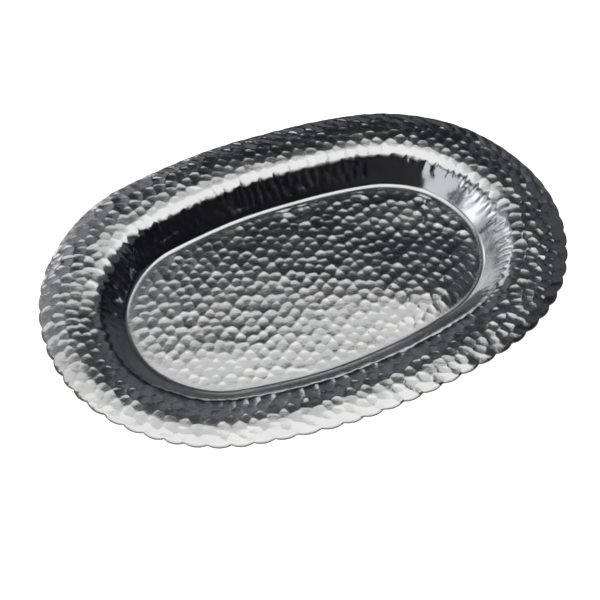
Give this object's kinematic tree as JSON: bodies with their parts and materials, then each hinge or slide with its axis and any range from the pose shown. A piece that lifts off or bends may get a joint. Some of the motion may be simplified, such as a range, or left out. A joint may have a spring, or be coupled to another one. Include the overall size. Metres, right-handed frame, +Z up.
{
  "type": "oval paten plate",
  "caption": "Oval hand-hammered metal plate: flat floor, short steep wall and a wide, nearly level flange with a softly scalloped edge. It lies flat and holds bread, wafers or a cup.",
  "frame": {"origin": "centre of the flat underside that the plate rests on", "axes": "+X along the plate's length, +Y across it, +Z up out of the well"},
  "size_m": [0.3546, 0.2478, 0.0228],
  "materials": {
    "hammered_metal": "polished, hand-hammered dimples on the floor and flange, burnished wall"
  },
  "bodies": {
    "root": {"tray_body": "hammered_metal"}
  },
  "joints": []
}
